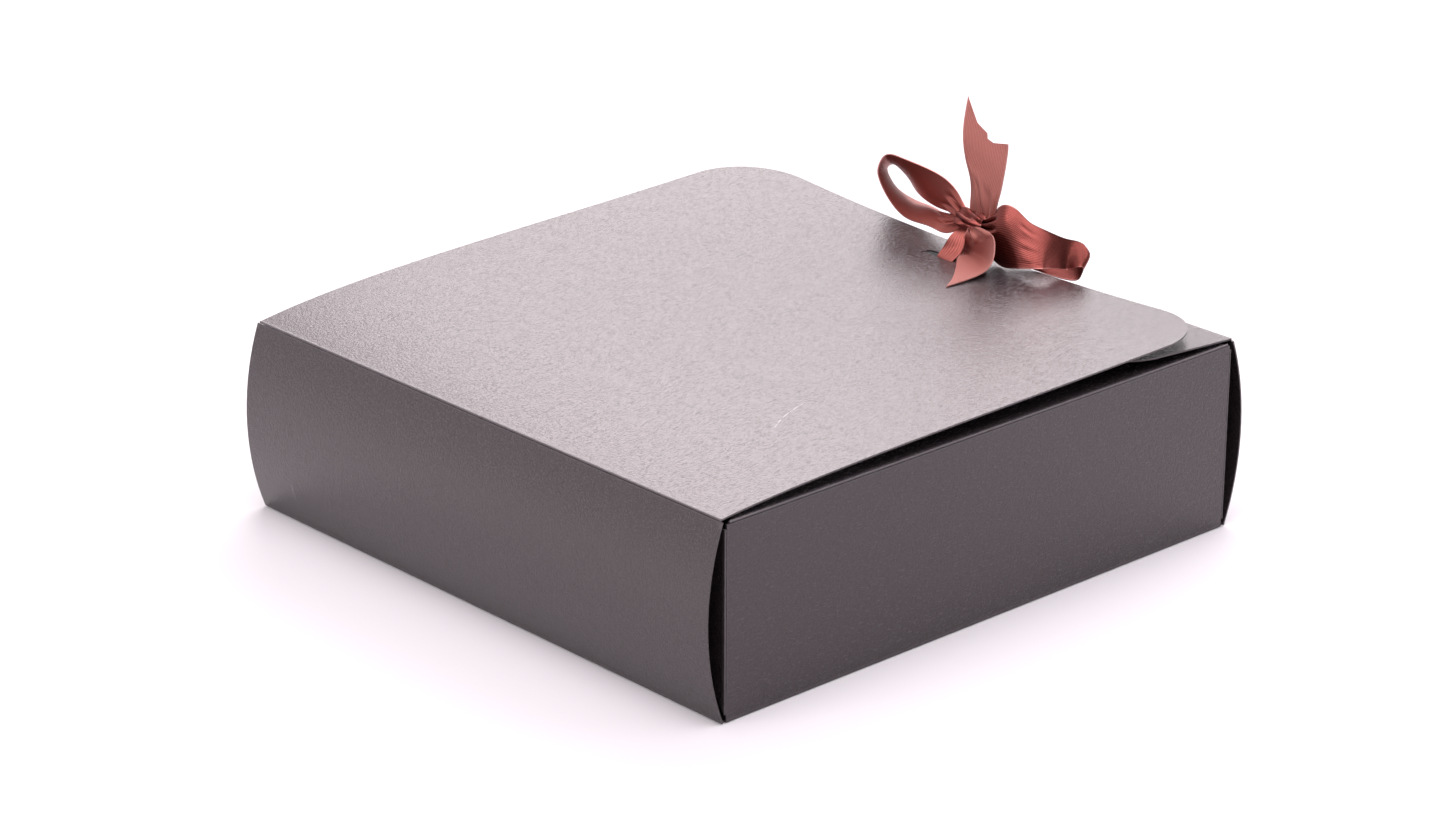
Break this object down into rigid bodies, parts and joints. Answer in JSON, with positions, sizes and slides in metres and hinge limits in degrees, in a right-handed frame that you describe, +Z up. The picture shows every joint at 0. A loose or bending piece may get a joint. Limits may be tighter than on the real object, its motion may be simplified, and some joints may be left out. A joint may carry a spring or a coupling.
{
  "type": "gift box",
  "caption": "Square folding card gift box with bowed side walls, overlapping lid flaps and a ribbon bow tied through a slot in the lid; the lid opens and the walls unfold.",
  "frame": {"origin": "middle of the box's underside, on the surface it stands on", "axes": "+Z up, +X across the bowed walls, from the lid's crease towards its free edge, +Y along the creases"},
  "size_m": [0.253, 0.2402, 0.1316],
  "materials": {
    "card": "matt solid board",
    "ribbon": "satin"
  },
  "bodies": {
    "base": {"base_panel": "card"},
    "hinge_wall": {"hinge_wall": "card"},
    "far_wall": {"far_wall": "card"},
    "front_wall": {"front_wall": "card"},
    "back_wall": {"back_wall": "card"},
    "front_left_ear": {"front_left_ear": "card"},
    "front_right_ear": {"front_right_ear": "card"},
    "back_left_ear": {"back_left_ear": "card"},
    "back_right_ear": {"back_right_ear": "card"},
    "front_dust_flap": {"front_dust_flap": "card"},
    "back_dust_flap": {"back_dust_flap": "card"},
    "lid": {"outer_flap": "card", "ribbon_stem": "ribbon", "ribbon_under": "ribbon", "ribbon_knot": "ribbon", "ribbon_back_loop": "ribbon", "ribbon_front_loop": "ribbon", "ribbon_tall_tail": "ribbon", "ribbon_low_tail": "ribbon"},
    "inner_flap": {"inner_flap": "card"}
  },
  "joints": [
    {"name": "side_unfold", "type": "hinge", "parent": "base", "child": "hinge_wall", "pos_m": [-0.1197, 0, 0.0003], "axis": [0, -1, 0], "range_deg": [0, 68]},
    {"name": "far_wall_fold", "type": "hinge", "parent": "base", "child": "far_wall", "pos_m": [0.1197, 0, 0.0003], "axis": [0, 1, 0], "range_deg": [0, 68]},
    {"name": "front_wall_fold", "type": "hinge", "parent": "base", "child": "front_wall", "pos_m": [0, -0.1197, 0.0003], "axis": [1, 0, 0], "range_deg": [0, 90]},
    {"name": "back_wall_fold", "type": "hinge", "parent": "base", "child": "back_wall", "pos_m": [0, 0.1197, 0.0003], "axis": [-1, 0, 0], "range_deg": [0, 90]},
    {"name": "front_left_ear_fold", "type": "hinge", "parent": "front_wall", "child": "front_left_ear", "pos_m": [-0.11858, -0.1197, 0.035], "axis": [0, 0, 1], "range_deg": [0, 90]},
    {"name": "front_right_ear_fold", "type": "hinge", "parent": "front_wall", "child": "front_right_ear", "pos_m": [0.11858, -0.1197, 0.035], "axis": [0, 0, -1], "range_deg": [0, 90]},
    {"name": "back_left_ear_fold", "type": "hinge", "parent": "back_wall", "child": "back_left_ear", "pos_m": [-0.11858, 0.1197, 0.035], "axis": [0, 0, -1], "range_deg": [0, 90]},
    {"name": "back_right_ear_fold", "type": "hinge", "parent": "back_wall", "child": "back_right_ear", "pos_m": [0.11858, 0.1197, 0.035], "axis": [0, 0, 1], "range_deg": [0, 90]},
    {"name": "lid_open", "type": "hinge", "parent": "hinge_wall", "child": "lid", "pos_m": [-0.1197, 0, 0.0697], "axis": [0, -1, 0], "range_deg": [0, 100]},
    {"name": "inner_flap_fold", "type": "hinge", "parent": "far_wall", "child": "inner_flap", "pos_m": [0.1197, 0, 0.0697], "axis": [0, 1, 0], "range_deg": [0, 90]},
    {"name": "front_dust_flap_fold", "type": "hinge", "parent": "front_wall", "child": "front_dust_flap", "pos_m": [0, -0.1197, 0.0685], "axis": [1, 0, 0], "range_deg": [0, 90]},
    {"name": "back_dust_flap_fold", "type": "hinge", "parent": "back_wall", "child": "back_dust_flap", "pos_m": [0, 0.1197, 0.0685], "axis": [-1, 0, 0], "range_deg": [0, 90]}
  ],
  "couplings": [
    {"joint": "far_wall_fold", "follows": "side_unfold", "ratio": 1},
    {"joint": "front_wall_fold", "follows": "side_unfold", "ratio": 1.3235},
    {"joint": "back_wall_fold", "follows": "side_unfold", "ratio": 1.3235},
    {"joint": "front_left_ear_fold", "follows": "side_unfold", "ratio": 1.3235},
    {"joint": "front_right_ear_fold", "follows": "side_unfold", "ratio": 1.3235},
    {"joint": "back_left_ear_fold", "follows": "side_unfold", "ratio": 1.3235},
    {"joint": "back_right_ear_fold", "follows": "side_unfold", "ratio": 1.3235},
    {"joint": "inner_flap_fold", "follows": "lid_open", "ratio": 0.9},
    {"joint": "front_dust_flap_fold", "follows": "lid_open", "ratio": 0.9},
    {"joint": "back_dust_flap_fold", "follows": "lid_open", "ratio": 0.9}
  ]
}
